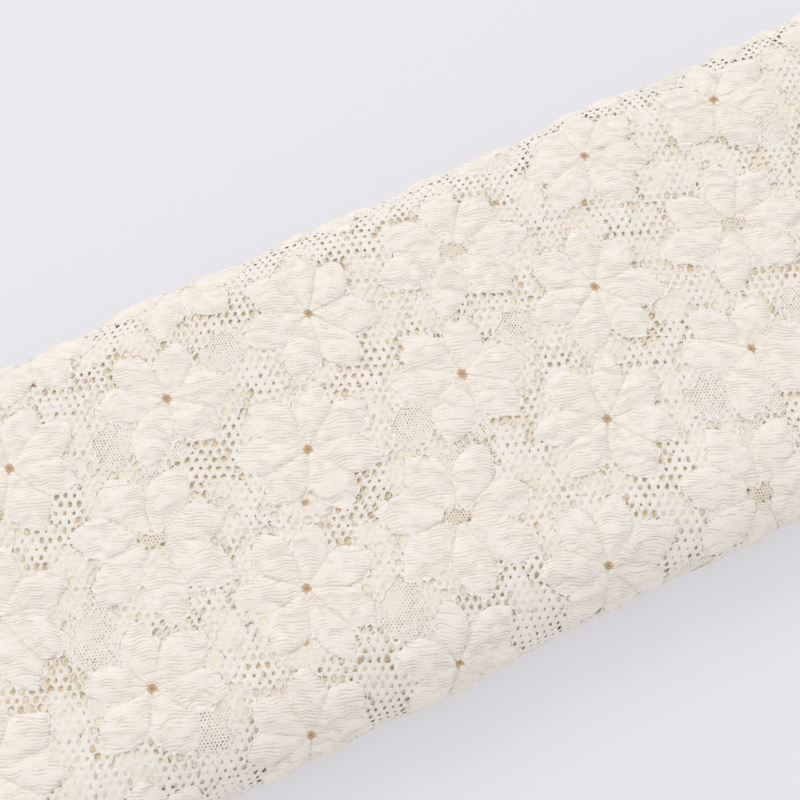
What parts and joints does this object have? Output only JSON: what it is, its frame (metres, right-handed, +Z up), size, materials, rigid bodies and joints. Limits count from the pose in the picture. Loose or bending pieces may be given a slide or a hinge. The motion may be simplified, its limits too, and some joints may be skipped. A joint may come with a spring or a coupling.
{
  "type": "roll of lace fabric",
  "caption": "Ivory floral lace wound flat into a long soft roll, with raised petals on a fine net ground, resting on its flat lower face.",
  "frame": {"origin": "middle of the flat face that the roll rests on, at the surface", "axes": "+X along the roll, +Y across it towards the long edge where the outer end lies, +Z up"},
  "size_m": [0.38, 0.1508, 0.0358],
  "materials": {
    "ivory_lace": "matte ivory stretch lace: puffed, finely ribbed petals on a whiter open net"
  },
  "bodies": {
    "root": {"lace_roll": "ivory_lace"}
  },
  "joints": []
}
